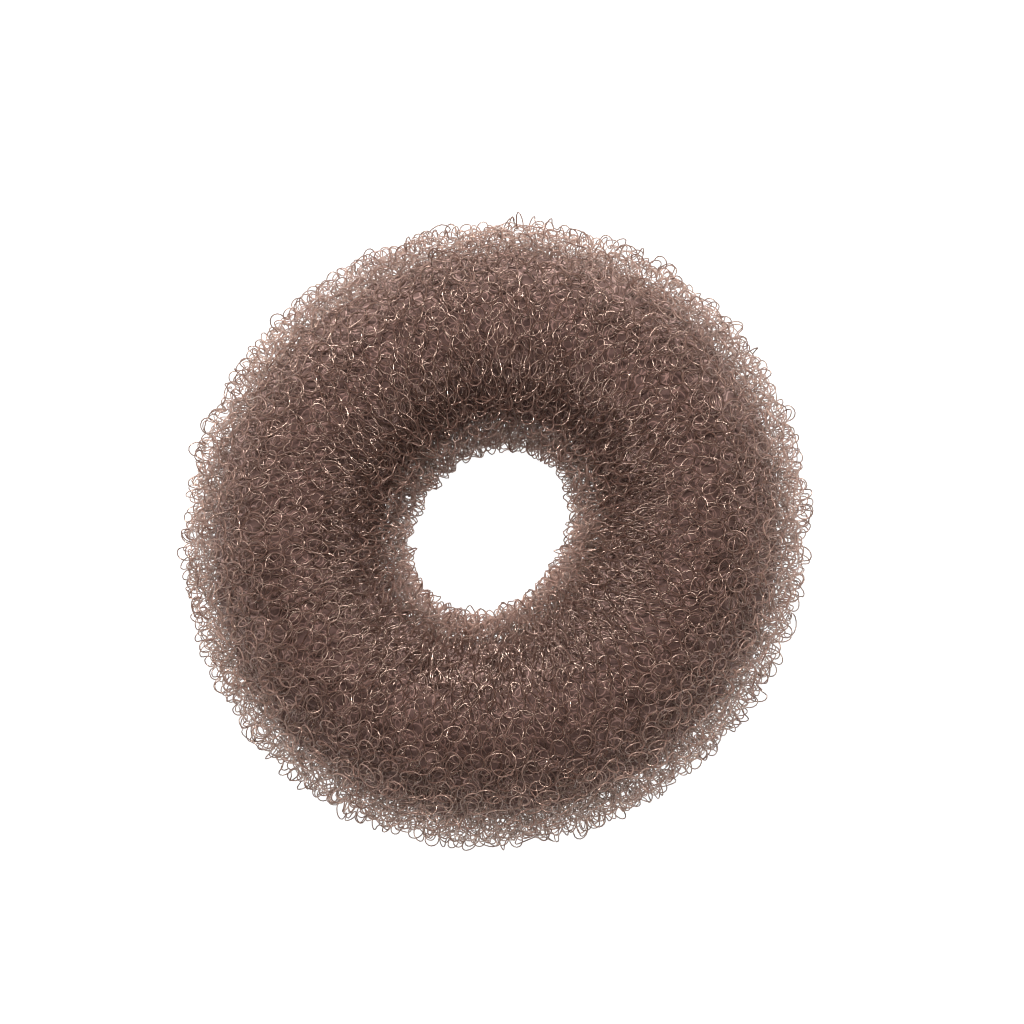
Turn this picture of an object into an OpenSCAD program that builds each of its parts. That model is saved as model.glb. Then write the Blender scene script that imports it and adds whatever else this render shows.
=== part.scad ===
// Hair donut bun maker: a knitted tube of open nylon mesh, rolled up on itself like a stocking
// into a thick springy ring. It is one piece of cloth. Millimetres, +Z up, origin in the middle of
// the ring on the surface that it rests on.

/* [Ring] */
// Diameter over the outer loops, the mean round the ring
outer_d = 89; // [75:1:110]
// Diameter of the hole that the ponytail goes through, the mean round the ring
hole_d = 23.5; // [16:0.5:34]
// Height of the ring as it lies on a table
height = 32; // [24:0.5:40]
// How far the underside is pressed flat where the ring rests
press = 1; // [0.4:0.1:3]

/* [Roll] */
// Thickness of the knitted mesh
wall = 3; // [2.4:0.1:4]
// Space between one turn of the roll and the next
turn_gap = 0.4; // [0.3:0.05:1]
// Radius of the empty core that the first turn leaves
core_r = 1.6; // [1.2:0.1:4]
// Where the mesh's outer edge lies, as an angle round the section: 0 outside, 90 top, 180 hole, 270 below
edge_angle = 225; // [205:5:235]
// Thickness that the mesh thins to at its outer edge
edge_wall = 1.5; // [1:0.1:2.2]

/* [Uneven shape] */
// How far the outer outline swells along its long axis and draws in across it
outer_oval = 0.8; // [0:0.1:2]
// How far the hole does the same
hole_oval = 1.2; // [0:0.1:2]
// Direction of the long axis, turned from +X towards +Y
oval_angle = 48; // [0:1:179]
// How far the hole lies off the middle of the ring along X
hole_x = -0.9; // [-2:0.1:2]
// How far the hole lies off the middle of the ring along Y
hole_y = 0.4; // [-2:0.1:2]

/* [Hidden] */

// Flat facets along the ring, and the most of them in one turn of the roll
ring_steps = 28;
turn_steps_most = 18;
// The most facets along the whole roll
roll_steps_most = 100;
// Over how much of a turn the mesh thins towards its outer edge
thinning_angle = 30;

// The roll is a spiral: each turn lies one pitch outside the turn before it
pitch = wall + turn_gap;
// Half the width of the roll's section, the mean round the ring
half_width = (outer_d - hole_d) / 4;

// How far in the spiral has drifted by the time it reaches an angle round the section. From the
// mesh's outer edge it goes under the ring, up the outside, over the top and down into the hole.
function drift(angle) = pitch * ((angle - edge_angle + 360) % 360) / 360;
// Radius of the spiral at the mesh's outer edge, which gives the section its width
roll_r = half_width + (drift(0) + drift(180)) / 2;
// How far the spiral's own middle lies outside the middle of the section's width
middle_shift = (drift(0) - drift(180)) / 2;
// How far the spiral's middle lies above the table, and how much the section is then stretched
// upwards to give the ring its height
middle_z = roll_r - drift(270) - press;
height_stretch = height / (middle_z + roll_r - drift(90));

// Turns in the whole roll, the facets in each turn and the number of facets from edge to edge
turns = (roll_r - wall - core_r) / pitch;
turn_steps = min(turn_steps_most, floor(roll_steps_most / turns));
roll_steps = floor(turns * turn_steps);
step_angle = 360 / turn_steps;

// Outline of the ring and of its hole, as a distance from the ring's middle in one direction
function outer_at(dir) = outer_d / 2 + outer_oval * cos(2 * (dir - oval_angle));
function hole_at(dir) =
    hole_d / 2 + hole_oval * cos(2 * (dir - oval_angle)) + hole_x * cos(dir) + hole_y * sin(dir);

// How many turns a point of the roll has below it, changing over at the top of the section
function turns_below(back) = floor((back + edge_angle - 90) / 360);
// Share of the full thickness that the mesh has, a given angle back from its outer edge
function thickness_share(back) =
    let (thin = edge_wall / wall)
    thin + (1 - thin) * min(1, back / thinning_angle);

// A point of the roll's section, a given angle back from the outer edge: its distance out from the
// spiral's middle and its height over that middle. Depth is how far in from the spiral it lies. Where
// the ring rests, each turn is pressed flat onto the turn below it.
function roll_point(back, depth) =
    let (angle = edge_angle + back)
    let (radius = roll_r - pitch * back / 360 - depth)
    let (lowest = middle_z - pitch * turns_below(back) - depth)
    [radius * cos(angle), max(radius * sin(angle), -lowest)];

// The section goes out along the mesh's inner face and back along its outer face
section = [
    for (i = [roll_steps : -1 : 0]) roll_point(i * step_angle, wall),
    for (i = [0 : roll_steps])
        let (back = i * step_angle)
        roll_point(back, wall * (1 - thickness_share(back))),
];

// One section of the ring, stretched to the outline in its direction and set on the table
function ring_section(dir) =
    let (centre = (outer_at(dir) + hole_at(dir)) / 2)
    let (stretch = (outer_at(dir) - hole_at(dir)) / 2 / half_width)
    [
        for (p = section)
            let (out = centre + (p[0] + middle_shift) * stretch)
            [out * cos(dir), out * sin(dir), (p[1] + middle_z) * height_stretch],
    ];

// The knitted mesh, rolled up and swept round the ring as one closed skin
module mesh_roll() {
    count = len(section);
    points = [for (i = [0 : ring_steps - 1]) each ring_section(i * 360 / ring_steps)];
    faces = [
        for (i = [0 : ring_steps - 1])
            for (j = [0 : count - 1])
                let (a = i * count + j)
                let (b = i * count + (j + 1) % count)
                let (c = ((i + 1) % ring_steps) * count + (j + 1) % count)
                let (d = ((i + 1) % ring_steps) * count + j)
                each [[a, b, c], [a, c, d]],
    ];
    color("sienna") polyhedron(points = points, faces = faces, convexity = 12);
}

mesh_roll();
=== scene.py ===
import math

import bpy
import numpy as np
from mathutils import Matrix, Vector


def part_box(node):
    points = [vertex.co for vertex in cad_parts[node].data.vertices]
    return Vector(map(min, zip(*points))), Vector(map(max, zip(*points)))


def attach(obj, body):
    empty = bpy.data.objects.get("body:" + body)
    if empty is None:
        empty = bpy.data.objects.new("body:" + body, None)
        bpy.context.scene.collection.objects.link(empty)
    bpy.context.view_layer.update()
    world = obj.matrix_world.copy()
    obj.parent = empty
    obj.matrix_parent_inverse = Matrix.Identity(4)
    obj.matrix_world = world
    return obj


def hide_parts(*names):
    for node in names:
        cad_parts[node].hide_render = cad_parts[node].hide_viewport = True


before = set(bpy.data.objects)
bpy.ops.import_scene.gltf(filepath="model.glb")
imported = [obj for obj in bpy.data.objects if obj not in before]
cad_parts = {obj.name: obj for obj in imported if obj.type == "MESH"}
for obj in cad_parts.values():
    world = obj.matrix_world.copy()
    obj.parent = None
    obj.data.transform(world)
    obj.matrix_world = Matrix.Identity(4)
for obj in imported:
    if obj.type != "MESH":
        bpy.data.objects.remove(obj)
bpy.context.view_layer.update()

MM = 0.001
TURN = 2 * math.pi
NODE = "mesh_roll"
BAKE_MAP = "OFBake"
SEED = 4708

# The CAD model's vertices lie in rings round the section, each of one direction to this many digits
DIRECTION_DIGITS = 3

# The knit: stitches round the ring (wales), and the spacing of the rows of stitches (courses) round
# the section of the roll. At the rim and at the hole each ply's rows lie closer together by this
# share, or farther apart where it is negative
WALES = 68
COURSE_SPACING = 2.9 * MM
RIM_CROWDING = [0.35, 0.25, 0.3, 0.4]
HOLE_CROWDING = [0.1, -0.15, -0.4, -0.5]
FILAMENT_R = 0.105 * MM
TUBE_SIDES = 3

# The roll: where the cloth's edge lies round its section, how deep its first ply lies, how far each
# ply lies under the last, and the last share of a turn, in which a ply sinks to the next one's depth
EDGE_ANGLE = math.radians(225)
FIRST_DEPTH = 0.65 * MM
PLY_SPACING = 1.05 * MM
PLIES = 4
SINKING_SHARE = 0.15

# The first plies are whole. The ones under them are knitted only at the rim and the hole, where
# light comes through: there the cosine of the angle round the section is farther from 0 than this
WHOLE_PLIES = 2
SIDE_COSINE = 0.3

# All of the knit lies nearer to the hole than the CAD model's skin by the shift, and at the hole it
# lies deeper by the setback, so that the loops that stand out of it end where the photograph's do
ROLL_SHIFT = 0.32 * MM
HOLE_SETBACK = 0.5 * MM

# The cloth's unevenness, in waves that push it in and out (lumps) and along itself (sway): how many
# waves, the fewest crests that one has round the ring and a number that all stay under, the most
# crests in one turn of the roll, and their size
LUMPS = (10, (12, 60), 8, 0.18 * MM)
SWAY = (10, (3, 24), 6, 0.5 * MM)

# A stitch is two bends of springy filament, a head and a foot, each most of a ring. How far a bend
# reaches along the cloth, its half width as a share of a stitch and the limits of that, the half
# angle of its arc, how far its ring tilts out of the cloth (mean and spread), the spread of its turn
# sideways, of its size and of its place, and how far the head stands above the cloth's middle and
# the foot lies below it
BEND_HEIGHT = 1.5 * MM
BEND_WIDTH_SHARE = 0.52
BEND_WIDTH_LIMITS = (0.8 * MM, 1.6 * MM)
BEND_ARC = math.radians(150)
BEND_TILT = (math.radians(12), math.radians(12))
BEND_YAW = math.radians(15)
BEND_SIZE_SPREAD = 0.15
BEND_DRIFT = 0.16 * MM
HEAD_RISE = 0.3 * MM
FOOT_SINK = 0.45 * MM

# Towards the rim and the hole many bends spring into small curls that stand out of the cloth: their
# share there, their radius, its spread and its most as shares of it, how far they tilt out, and the
# spread of their turn sideways
CURL_SHARE = 0.75
CURL_RADIUS = 0.85 * MM
CURL_SPREAD = 0.25
CURL_MOST = 1.35
CURL_TILT = (math.radians(70), math.radians(25))
CURL_YAW = math.radians(30)

# Each bend is drawn with this many points, smoothed so many times, then thinned out
BEND_POINTS = 24
SMOOTHINGS = 8

# Straight pieces of filament in one stitch of each ply, finer where it shows. Underneath, where the
# sine of the angle round the section is under HIDDEN_SINE, this share of them is enough
STITCH_STEPS = [24, 22, 18, 14]
HIDDEN_SINE = -0.85
HIDDEN_STEPS = 0.5
MOST_TRIANGLES = 190_000

# The filament's tone, from 0 (dark) to 1 (light): how much it varies from bend to bend, and the
# painted light that makes it lighter towards the rim and the hole, where light comes through the
# knit, by these powers of the cosine round the section
TONE_SPREAD = 0.33
RIM_PAINTED_LIGHT = 0.6
RIM_POWER = 2
HOLE_PAINTED_LIGHT = 0.8
HOLE_POWER = 6

# Loops that stand loose out of the rim and the hole look darker against the light, painted as shade
# in their colour: at less than what depth, over what reach this painted shade grows, and its most as
# a share of the tone
LOOSE_DEPTH = 0.2 * MM
LOOSE_REACH = 1.0 * MM
LOOSE_PAINTED_SHADE = 0.75

# The underside is pressed flat by this much where the ring rests. A filament there keeps its own
# radius above the floor, and more by this share of its depth past the slack
PRESS = 1.0 * MM
FLOOR_SHARE = 0.7
FLOOR_SLACK = 0.4 * MM

# The bake map of the filament: tone with its painted light and shade across, from MAP_START over
# MAP_WIDTH; depth up, of MAP_DEPTH in all, kept between two limits; and the size of a face on it
MAP_START = 0.02
MAP_WIDTH = 0.9
MAP_DEPTH = 8 * MM
MAP_LIMITS = (0.02, 0.95)
MAP_FACE = 0.006


def grey(value):
    """A grey of this brightness."""
    return (value, value, value)


# The nylon's own colour and the colour of the light that it lets through, by tone, both lighter at
# the rim and the hole by the painted light in the tone; its painted shade, darker deeper in the roll,
# by depth; and its gloss. A colour ramp is a list of stops, each a value and the colour that it has
NYLON_COLOURS_AND_PAINTED_LIGHT = [(0.0, (0.027, 0.0096, 0.0066)), (1.0, (0.208, 0.1270, 0.1040))]
NYLON_GLOW_AND_PAINTED_LIGHT = [(0.22, (0.198, 0.154, 0.134)), (0.55, (0.345, 0.305, 0.280))]
NYLON_DEPTH_PAINTED_SHADE = [(0.12, grey(0.8)), (0.3, grey(0.55))]
NYLON_ROUGHNESS = 0.16
NYLON_IOR = 1.53
NYLON_GLOSS = 1.0
NYLON_GLOSS_TINT = (1, 0.74, 0.60)

# The inner turns of the roll are one body: its faces round the ring and round its section, how deep it
# lies at the top, at the rim and at the hole, how high its lumps are, how many of them there are
# round the ring and the section and how their rows bend, and how ragged it is at the rim and hole
CORE_FACES = (160, 80)
CORE_DEPTHS = (2.9 * MM, 4.1 * MM, 4.9 * MM)
CORE_LUMPS = 0.25 * MM
CORE_LUMP_CRESTS = (23, 9)
CORE_LUMP_BEND = (3, 4)
CORE_RAGGEDNESS = 0.9 * MM

# Two layers of filament loops are drawn on that body, each loop round one of many scattered spots:
# how many spots round the ring and the section, how far the layer's spots are moved, and the colours
# of a loop by distance from its spot, as a share of the spacing
CORE_LAYERS = [((74, 34), 0.0), ((90, 42), 0.4)]
CORE_DARK = (0.225, 0.114, 0.092)
CORE_LIGHT = (0.680, 0.380, 0.315)
CORE_LOOP = [(0.35, CORE_DARK), (0.41, CORE_LIGHT), (0.47, CORE_DARK)]
CORE_ROUGHNESS = 0.8
CORE_GLOSS = 0.2

# Painted light and shade in that body's colour, for the light that reaches it, by place round its
# section from the rim (0) over the top and the hole (0.5) to the rim again: little on top and
# underneath (painted shade), much at the rim and the hole (painted light)
CORE_SHADE = grey(0.215)
CORE_PAINTED_EDGE_LIGHT = (0.9, 1.12, 1.2)
CORE_PAINTED_LIGHT_AND_SHADE = [(0.0, CORE_PAINTED_EDGE_LIGHT), (0.20, CORE_SHADE), (0.28, CORE_SHADE), (0.5, CORE_PAINTED_EDGE_LIGHT),
               (0.62, CORE_SHADE), (0.84, CORE_SHADE), (1.0, CORE_PAINTED_EDGE_LIGHT)]

# The floor: how far it reaches from the middle in metres, its colour and its own even light
FLOOR_REACH = 3.0
FLOOR_COLOUR = grey(0.08)
FLOOR_ROUGHNESS = 0.9
FLOOR_GLOW = 1.0

# The studio's light: of the walls, of the ceiling, and the height on a globe of 1 at which the walls
# have dimmed to the ceiling's light
WALL_LIGHT = 1.0
CEILING_LIGHT = 0.12
DIMMING_END = 0.4

# The lamps: where each is, where it shines, its width and height, and its power in watts. Two hang
# above. A pair lies on the floor, unseen, and shines up through the knit. The middles of the pair
# are outside the knit's box, because a lamp inside a piece's box counts as the piece's own
KEY_LAMP = ((-0.05, 0.38, 0.64), (0, 0, 0.015), (0.5, 0.12), 17)
TOP_LAMP = ((-0.05, -0.05, 0.75), (0, 0, 0.015), (0.25, 0.25), 2.5)
TABLE_LAMP_X = 0.055
TABLE_LAMP_Z = 0.05 * MM
TABLE_LAMP_SIZE = (0.11, 0.22)
TABLE_LAMP_POWER = 0.095

# The camera: the ring's width over its loops, in metres and in the photograph's pixels; the
# picture's own width; the pixel where the middle of the ring's frame shows; and how high the camera
# looks from, how far it stands and how wide its sensor is in millimetres
RING_WIDTH = 90 * MM
RING_PIXELS = 628
PICTURE_PIXELS = 1024
MIDDLE_PIXEL = (496.3, 532.8)
CAMERA_ELEVATION = math.radians(85)
CAMERA_DISTANCE = 0.6
SENSOR_WIDTH = 36

# Thin filaments stay crisp with a pixel filter a little narrower than Blender's own
PIXEL_FILTER = 1.1


def node_points(node):
    """The vertices of a CAD node."""
    points = np.empty(len(node.data.vertices) * 3, np.float32)
    node.data.vertices.foreach_get("co", points)
    return points.reshape(-1, 3).astype(float)


def ring_outline(node):
    """Directions round the ring, and the radii of the CAD model's rim and hole in each."""
    points = node_points(node)
    radius = np.hypot(points[:, 0], points[:, 1])
    direction = np.round(np.arctan2(points[:, 1], points[:, 0]), DIRECTION_DIGITS)
    directions = np.unique(direction)
    rim = [radius[direction == d].max() for d in directions]
    hole = [radius[direction == d].min() for d in directions]
    return directions, np.array(rim), np.array(hole)


DIRECTIONS, RIM, HOLE = ring_outline(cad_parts[NODE])
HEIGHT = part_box(NODE)[1][2]
HALF_HEIGHT = (HEIGHT + PRESS) / 2


def place(direction, angle, depth):
    """Where a spot of the roll lies, from its direction round the ring, its angle round the
    section (0 outside, a quarter turn at the top) and its depth under the CAD model's skin."""
    rim = np.interp(direction, DIRECTIONS, RIM, period=TURN)
    hole = np.interp(direction, DIRECTIONS, HOLE, period=TURN)
    out = (rim + hole) / 2 - ROLL_SHIFT + ((rim - hole) / 2 - depth) * np.cos(angle)
    up = HALF_HEIGHT - PRESS + (HALF_HEIGHT - depth) * np.sin(angle)
    lowest = FILAMENT_R + FLOOR_SHARE * np.maximum(depth - FLOOR_SLACK, 0)
    return np.stack([out * np.cos(direction), out * np.sin(direction), np.maximum(up, lowest)], -1)


def outward(direction, angle):
    """The way out of the roll's skin at a spot."""
    flat = np.cos(angle)
    return np.stack([flat * np.cos(direction), flat * np.sin(direction), np.sin(angle)], -1)


def ripples(rng, count, round_ring, along_cloth, size):
    """A smooth unevenness of the cloth, made of waves, as a function of the direction round the
    ring and of the turn back along the roll."""
    across = rng.integers(round_ring[0], round_ring[1], count)
    back = rng.uniform(-along_cloth, along_cloth, count)
    phase = rng.uniform(0, TURN, count)
    height = size * math.sqrt(2 / count)
    waves = list(zip(across, back, phase))
    return lambda direction, turn: height * sum(np.sin(a * direction + b * turn + c) for a, b, c in waves)


def ply_depth(back):
    """How deep the cloth lies under the roll's skin, a given turn back from its edge."""
    turns = back / TURN
    sunk = np.clip((turns % 1 - 1 + SINKING_SHARE) / SINKING_SHARE, 0, 1)
    return FIRST_DEPTH + PLY_SPACING * (int(turns) + sunk)


def smoothed(values):
    """Values round a closed curve, each drawn towards its neighbours."""
    for _ in range(SMOOTHINGS):
        values = (np.roll(values, 1) + 2 * values + np.roll(values, -1)) / 4
    return values


def knit_course(rng, back, steps, lumps, sway):
    """One row of stitches, as the closed curve of its filament: points, ways out, tone with its painted
    light and shade, and depth. back is the turn of the spiral from the cloth's edge to this row."""
    bends = 2 * WALES
    count = bends * BEND_POINTS
    bend = np.repeat(np.arange(bends), BEND_POINTS)
    arc = np.tile((np.arange(BEND_POINTS) + 0.5) / BEND_POINTS * 2 - 1, bends) * BEND_ARC
    side = np.where(bend % 2, -1, 1)

    level = ply_depth(back)
    angle0 = EDGE_ANGLE + back
    outwardness = math.cos(angle0)
    even = np.arange(count) / count * TURN
    start = rng.random() * TURN
    middle = np.interp(even + start, DIRECTIONS, (RIM + HOLE) / 2, period=TURN)
    half = np.interp(even + start, DIRECTIONS, (RIM - HOLE) / 2, period=TURN) - level
    radius = middle + half * outwardness

    def vary(mean, spread):
        return rng.normal(mean, spread, bends)[bend]

    # The size and the lean of each bend's ring
    curl = (rng.random(bends) < CURL_SHARE * outwardness ** 2)[bend]
    width = np.clip(BEND_WIDTH_SHARE * radius * TURN / WALES, *BEND_WIDTH_LIMITS)
    width = width * vary(1, BEND_SIZE_SPREAD)
    height = np.sqrt(width * BEND_HEIGHT) * vary(1, BEND_SIZE_SPREAD)
    curl_radius = CURL_RADIUS * np.minimum(vary(1, CURL_SPREAD), CURL_MOST)
    width = np.where(curl, curl_radius, width)
    height = np.where(curl, curl_radius, height)
    tilt = np.where(curl, vary(*CURL_TILT), vary(*BEND_TILT))
    yaw = np.where(curl, vary(0, CURL_YAW), vary(0, BEND_YAW))

    # Its points: an angle along the row, and lengths down the cloth and out of it
    rise = height * (np.cos(arc) - math.cos(BEND_ARC))
    swing = width * np.sin(arc)
    along = (bend + 0.5) / bends * TURN - even + (swing * np.cos(yaw) + vary(0, BEND_DRIFT)) / radius
    down = side * rise * np.cos(tilt) + vary(0, BEND_DRIFT)
    out = rise * np.sin(tilt) + swing * np.sin(yaw) + vary(0, BEND_DRIFT)
    out += np.where(bend % 2, -FOOT_SINK, HEAD_RISE) * np.sin(angle0)

    # The same, smoothed and thinned out, on the uneven cloth
    kept = np.arange(WALES * steps) / (WALES * steps) * count
    along, down, out, half = (np.interp(kept, np.arange(count), smoothed(values), period=count)
                              for values in (along, down, out, half))
    direction = start + kept / count * TURN + along
    down = down + sway(direction, back)
    out = out + lumps(direction, back)
    angle = angle0 + down / half
    depth = level - out - HOLE_SETBACK * min(outwardness, 0)

    # Painted light: the colour grows lighter towards the rim and the hole, where light comes through
    painted_light, power = (RIM_PAINTED_LIGHT, RIM_POWER) if outwardness > 0 else (HOLE_PAINTED_LIGHT, HOLE_POWER)
    tone_light_and_shade = TONE_SPREAD * rng.random(bends)[(kept / BEND_POINTS).astype(int)]
    tone_light_and_shade = np.minimum(tone_light_and_shade + painted_light * outwardness ** power, 1)
    # Painted shade: loops that stand loose out of the rim and the hole get darker, as against the light
    painted_shade_share = np.clip((LOOSE_DEPTH - depth) / LOOSE_REACH, 0, 1) * outwardness ** 2
    tone_light_and_shade = tone_light_and_shade * (1 - LOOSE_PAINTED_SHADE * painted_shade_share)
    return place(direction, angle, depth), outward(direction, angle), tone_light_and_shade, depth


def tube(points, ways_out, tone_light_and_shade, depth):
    """A closed filament of TUBE_SIDES sides along a closed curve: vertices, quads and UV corners."""
    ahead = np.roll(points, -1, 0) - np.roll(points, 1, 0)
    ahead /= np.linalg.norm(ahead, axis=1, keepdims=True)
    side = np.cross(ahead, ways_out)
    side /= np.linalg.norm(side, axis=1, keepdims=True) + 1e-9
    up = np.cross(side, ahead)
    turns = np.arange(TUBE_SIDES) * TURN / TUBE_SIDES
    ring = np.cos(turns)[None, :, None] * up[:, None] + np.sin(turns)[None, :, None] * side[:, None]
    vertices = (points[:, None] + ring * FILAMENT_R).reshape(-1, 3)

    i = np.arange(len(points))[:, None]
    k = np.arange(TUBE_SIDES)[None, :]
    after = (i + 1) % len(points)
    beside = (k + 1) % TUBE_SIDES
    quads = np.stack([i * TUBE_SIDES + k, after * TUBE_SIDES + k,
                      after * TUBE_SIDES + beside, i * TUBE_SIDES + beside], -1).reshape(-1, 4)
    u = MAP_START + MAP_WIDTH * tone_light_and_shade[:, None, None] + MAP_FACE * (k[..., None] + np.array([0, 0, 1, 1]))
    v = np.clip(depth / MAP_DEPTH, *MAP_LIMITS)[:, None, None] + MAP_FACE * np.array([0, 1, 1, 0])
    u, v = np.broadcast_arrays(u, v)
    return vertices, quads, np.stack([u, v], -1).reshape(-1, 2)


def mesh_piece(name, vertices, quads, uv, material):
    """A mesh object from arrays, with its UV map, smooth shading and material."""
    mesh = bpy.data.meshes.new(name)
    mesh.vertices.add(len(vertices))
    mesh.vertices.foreach_set("co", vertices.astype(np.float32).ravel())
    mesh.loops.add(quads.size)
    mesh.loops.foreach_set("vertex_index", quads.astype(np.int32).ravel())
    mesh.polygons.add(len(quads))
    mesh.polygons.foreach_set("loop_start", np.arange(0, quads.size, 4, dtype=np.int32))
    layer = mesh.uv_layers.new(name=BAKE_MAP)
    layer.uv.foreach_set("vector", uv.astype(np.float32).ravel())
    mesh.update(calc_edges=True)
    mesh.polygons.foreach_set("use_smooth", np.ones(len(quads), bool))
    mesh.validate()
    mesh.materials.append(material)
    piece = bpy.data.objects.new(name, mesh)
    bpy.context.scene.collection.objects.link(piece)
    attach(piece, "root")
    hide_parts(NODE)
    return piece


def bake_map(tree):
    """The place on a piece's bake map, how far across it lies and how far up."""
    place_map = tree.nodes.new("ShaderNodeUVMap")
    place_map.uv_map = BAKE_MAP
    split = tree.nodes.new("ShaderNodeSeparateXYZ")
    tree.links.new(place_map.outputs["UV"], split.inputs[0])
    return place_map.outputs["UV"], split.outputs["X"], split.outputs["Y"]


def colour_ramp(tree, value, stops):
    """The colour that a value has on a ramp of stops."""
    ramp = tree.nodes.new("ShaderNodeValToRGB")
    elements = ramp.color_ramp.elements
    for position, colour in stops[1:-1]:
        elements.new(position).color = (*colour, 1)
    for element, (position, colour) in ((elements[0], stops[0]), (elements[-1], stops[-1])):
        element.position = position
        element.color = (*colour, 1)
    tree.links.new(value, ramp.inputs["Fac"])
    return ramp.outputs["Color"]


def colour_mix(tree, way, first, second):
    """Two colours, mixed in one of Blender's ways."""
    mix = tree.nodes.new("ShaderNodeMix")
    mix.data_type = "RGBA"
    mix.blend_type = way
    mix.inputs["Factor"].default_value = 1
    tree.links.new(first, mix.inputs["A"])
    tree.links.new(second, mix.inputs["B"])
    return mix.outputs["Result"]


def nylon_material(name):
    """Brown nylon monofilament, glossy, that lets some light through. Its colours follow the bake
    map: tone with its painted light and shade across, depth in the roll up, with painted shade deeper."""
    material = bpy.data.materials.new(name)
    material.use_nodes = True
    tree = material.node_tree
    shader = tree.nodes["Principled BSDF"]
    _, tone_light_and_shade, depth = bake_map(tree)
    # Painted light and shade: lighter at the rim and the hole through the tone, darker deeper in the roll
    colour = colour_mix(tree, "MULTIPLY", colour_ramp(tree, tone_light_and_shade, NYLON_COLOURS_AND_PAINTED_LIGHT),
                        colour_ramp(tree, depth, NYLON_DEPTH_PAINTED_SHADE))
    tree.links.new(colour, shader.inputs["Base Color"])
    shader.inputs["Roughness"].default_value = NYLON_ROUGHNESS
    shader.inputs["IOR"].default_value = NYLON_IOR
    shader.inputs["Specular IOR Level"].default_value = NYLON_GLOSS
    shader.inputs["Specular Tint"].default_value = (*NYLON_GLOSS_TINT, 1)
    through = tree.nodes.new("ShaderNodeBsdfTranslucent")
    # The light let through is stronger at the rim and the hole by the painted light in the tone
    tree.links.new(colour_ramp(tree, tone_light_and_shade, NYLON_GLOW_AND_PAINTED_LIGHT), through.inputs["Color"])
    both = tree.nodes.new("ShaderNodeAddShader")
    tree.links.new(shader.outputs[0], both.inputs[0])
    tree.links.new(through.outputs[0], both.inputs[1])
    tree.links.new(both.outputs[0], tree.nodes["Material Output"].inputs["Surface"])
    return material


def core_material(name):
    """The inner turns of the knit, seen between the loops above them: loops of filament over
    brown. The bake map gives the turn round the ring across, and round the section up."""
    material = bpy.data.materials.new(name)
    material.use_nodes = True
    tree = material.node_tree
    shader = tree.nodes["Principled BSDF"]
    spot, _, section = bake_map(tree)
    layers = []
    for spots, shift in CORE_LAYERS:
        spread = tree.nodes.new("ShaderNodeMapping")
        spread.inputs["Location"].default_value = (shift, shift, 0)
        spread.inputs["Scale"].default_value = (*spots, 1)
        tree.links.new(spot, spread.inputs["Vector"])
        cells = tree.nodes.new("ShaderNodeTexVoronoi")
        cells.voronoi_dimensions = "2D"
        cells.inputs["Scale"].default_value = 1
        tree.links.new(spread.outputs["Vector"], cells.inputs["Vector"])
        layers.append(colour_ramp(tree, cells.outputs["Distance"], CORE_LOOP))
    loops = colour_mix(tree, "LIGHTEN", *layers)
    # Painted light and shade: lighter at the rim and the hole, darker on top and underneath
    shaded = colour_mix(tree, "MULTIPLY", loops, colour_ramp(tree, section, CORE_PAINTED_LIGHT_AND_SHADE))
    tree.links.new(shaded, shader.inputs["Base Color"])
    shader.inputs["Roughness"].default_value = CORE_ROUGHNESS
    shader.inputs["Specular IOR Level"].default_value = CORE_GLOSS
    return material


def knit_rows():
    """The rows of the spiral web, from the cloth's edge inwards, each as tube gives it."""
    rng = np.random.default_rng(SEED)
    lumps = ripples(rng, *LUMPS)
    sway = ripples(rng, *SWAY)
    section_radius = (RIM - HOLE).mean() / 2
    rows = []
    back = 0.0
    while back < PLIES * TURN:
        ply = int(back / TURN)
        outwardness = math.cos(EDGE_ANGLE + back)
        steps = STITCH_STEPS[ply]
        if math.sin(EDGE_ANGLE + back) < HIDDEN_SINE:
            steps = round(steps * HIDDEN_STEPS)
        if ply < WHOLE_PLIES or abs(outwardness) > SIDE_COSINE:
            rows.append(tube(*knit_course(rng, back, steps, lumps, sway)))
        crowding = (RIM_CROWDING if outwardness > 0 else HOLE_CROWDING)[ply]
        spacing = COURSE_SPACING * (1 - crowding * outwardness ** 2)
        back += spacing / (section_radius - ply_depth(back))
    return rows


def joined_rows(name, rows, material):
    """Several rows of the web as one piece."""
    vertices, quads, uv = zip(*rows)
    starts = np.cumsum([0] + [len(v) for v in vertices[:-1]])
    quads = [q + start for q, start in zip(quads, starts)]
    return mesh_piece(name, np.concatenate(vertices), np.concatenate(quads), np.concatenate(uv), material)


def knit_pieces(material):
    """The spiral web, as pieces of as many rows as MOST_TRIANGLES lets each have."""
    batches = [[]]
    triangles = 0
    for row in knit_rows():
        more = 2 * len(row[1])
        if batches[-1] and triangles + more > MOST_TRIANGLES:
            batches.append([])
            triangles = 0
        batches[-1].append(row)
        triangles += more
    return [joined_rows(f"knit_web_{i + 1}", batch, material) for i, batch in enumerate(batches)]


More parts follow.
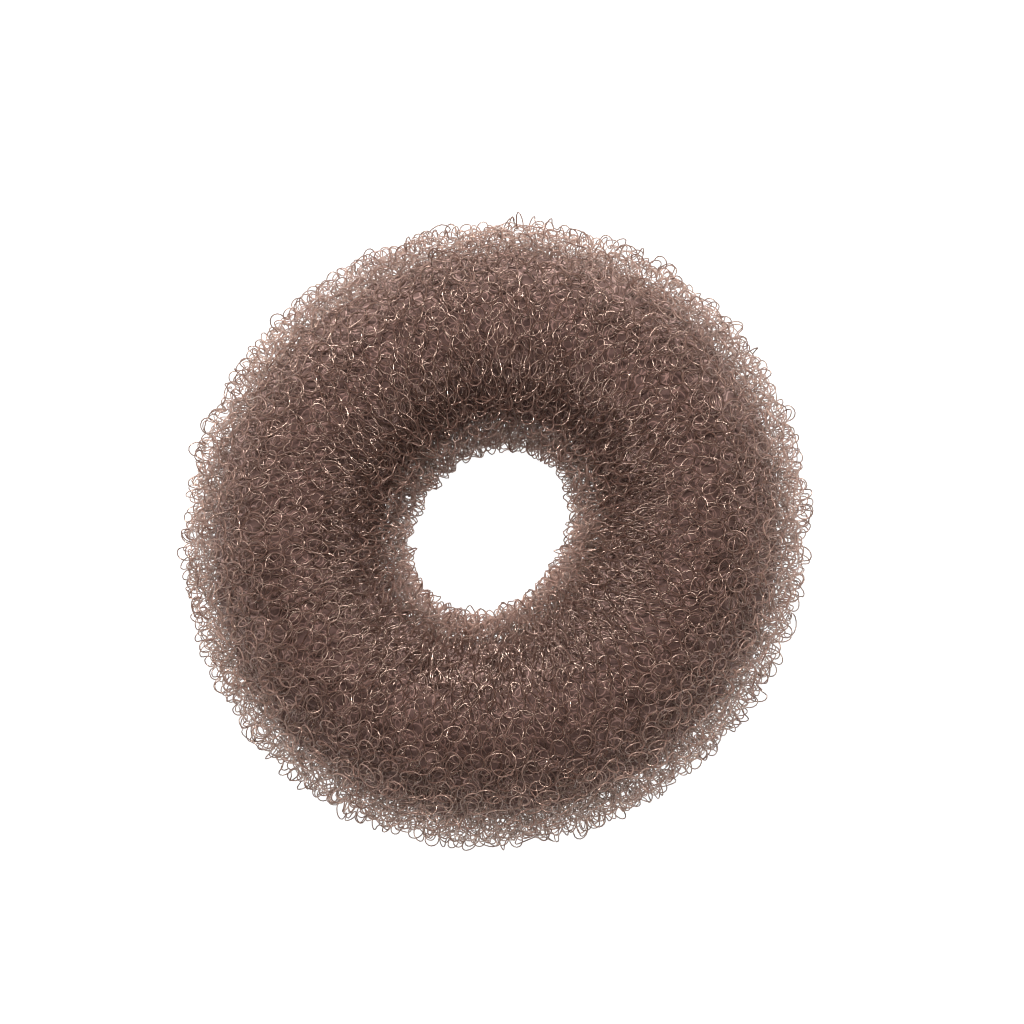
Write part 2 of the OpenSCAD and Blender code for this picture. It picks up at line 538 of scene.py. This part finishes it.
def core_piece(material):
    """The inner turns of the roll, as one uneven body under the knit."""
    around, section = CORE_FACES
    i, j = np.meshgrid(np.arange(around), np.arange(section), indexing="ij")
    direction = i / around * TURN
    angle = j / section * TURN
    bent = CORE_LUMP_CRESTS[0] * direction + CORE_LUMP_BEND[0] * np.sin(CORE_LUMP_BEND[1] * angle)
    lumps = CORE_LUMPS * np.sin(bent) * np.sin(CORE_LUMP_CRESTS[1] * angle)
    top, rim, hole = CORE_DEPTHS
    flat = np.cos(angle)
    depth = top + (rim - top) * np.maximum(flat, 0) + (hole - top) * np.maximum(-flat, 0)
    ragged = np.random.default_rng(SEED + 1).uniform(-1, 1, flat.shape) * CORE_RAGGEDNESS * flat ** 2
    vertices = place(direction, angle, depth + lumps + ragged).reshape(-1, 3)
    i2, j2 = (i + 1) % around, (j + 1) % section
    quads = np.stack([i * section + j, i2 * section + j, i2 * section + j2, i * section + j2], -1)
    u = np.stack([i, i + 1, i + 1, i], -1) / around
    v = np.stack([j, j, j + 1, j + 1], -1) / section
    uv = np.stack([u, v], -1).reshape(-1, 2)
    return mesh_piece("knit_core", vertices, quads.reshape(-1, 4), uv, material)


def floor_piece():
    """A plain pale floor with an even light of its own, like a light table's."""
    mesh = bpy.data.meshes.new("floor")
    corners = [(-FLOOR_REACH, -FLOOR_REACH, 0), (FLOOR_REACH, -FLOOR_REACH, 0),
               (FLOOR_REACH, FLOOR_REACH, 0), (-FLOOR_REACH, FLOOR_REACH, 0)]
    mesh.from_pydata(corners, [], [(0, 1, 2, 3)])
    floor = bpy.data.objects.new("floor", mesh)
    bpy.context.scene.collection.objects.link(floor)
    material = bpy.data.materials.new("floor_white")
    material.use_nodes = True
    shader = material.node_tree.nodes["Principled BSDF"]
    shader.inputs["Base Color"].default_value = (*FLOOR_COLOUR, 1)
    shader.inputs["Roughness"].default_value = FLOOR_ROUGHNESS
    shader.inputs["Emission Color"].default_value = (1, 1, 1, 1)
    shader.inputs["Emission Strength"].default_value = FLOOR_GLOW
    material.cycles.emission_sampling = "NONE"
    mesh.materials.append(material)


def area_light(name, spot, aim, size, power, seen=True):
    """A soft lamp of some width and height that shines from spot at aim."""
    data = bpy.data.lights.new(name, "AREA")
    data.shape = "RECTANGLE"
    data.size, data.size_y = size
    data.energy = power
    lamp = bpy.data.objects.new(name, data)
    lamp.location = spot
    lamp.rotation_euler = (Vector(aim) - Vector(spot)).to_track_quat("-Z", "Y").to_euler()
    lamp.visible_camera = seen
    bpy.context.scene.collection.objects.link(lamp)


def studio_walls():
    """Even white light from all round, which dims towards the ceiling."""
    world = bpy.data.worlds.new("studio")
    world.use_nodes = True
    nodes = world.node_tree.nodes
    links = world.node_tree.links
    spot = nodes.new("ShaderNodeTexCoord")
    split = nodes.new("ShaderNodeSeparateXYZ")
    links.new(spot.outputs["Generated"], split.inputs[0])
    dimming = nodes.new("ShaderNodeMapRange")
    dimming.inputs["From Min"].default_value = 0.0
    dimming.inputs["From Max"].default_value = DIMMING_END
    dimming.inputs["To Min"].default_value = WALL_LIGHT
    dimming.inputs["To Max"].default_value = CEILING_LIGHT
    links.new(split.outputs["Z"], dimming.inputs["Value"])
    links.new(dimming.outputs["Result"], nodes["Background"].inputs["Strength"])
    nodes["Background"].inputs["Color"].default_value = (1, 1, 1, 1)
    bpy.context.scene.world = world


def studio_lamps():
    """Two soft lamps above the ring, and two under its sides that shine up through it."""
    area_light("key", *KEY_LAMP)
    area_light("top", *TOP_LAMP)
    for x in (-TABLE_LAMP_X, TABLE_LAMP_X):
        area_light("table", (x, 0, TABLE_LAMP_Z), (x, 0, 1), TABLE_LAMP_SIZE, TABLE_LAMP_POWER, seen=False)


def photo_camera():
    """The photograph's camera, which looks almost straight down at the ring."""
    scale = RING_WIDTH / RING_PIXELS
    centre = PICTURE_PIXELS / 2
    right = (centre - MIDDLE_PIXEL[0]) * scale
    ahead = (MIDDLE_PIXEL[1] - centre) * scale
    aim = Vector((right, ahead, HEIGHT / 2))
    back = Vector((0, -math.cos(CAMERA_ELEVATION), math.sin(CAMERA_ELEVATION)))
    data = bpy.data.cameras.new("camera")
    data.sensor_width = SENSOR_WIDTH
    data.lens = data.sensor_width * CAMERA_DISTANCE / (PICTURE_PIXELS * scale)
    camera = bpy.data.objects.new("camera", data)
    camera.location = aim + back * CAMERA_DISTANCE
    camera.rotation_euler = (-back).to_track_quat("-Z", "Y").to_euler()
    bpy.context.scene.collection.objects.link(camera)
    bpy.context.scene.camera = camera


photo_camera()
studio_walls()
studio_lamps()
floor_piece()
web = knit_pieces(nylon_material("nylon_filament"))
core_piece(core_material("nylon_packed"))
bpy.context.scene.view_settings.view_transform = "Standard"
bpy.context.scene.cycles.use_denoising = True
bpy.context.scene.cycles.filter_width = PIXEL_FILTER
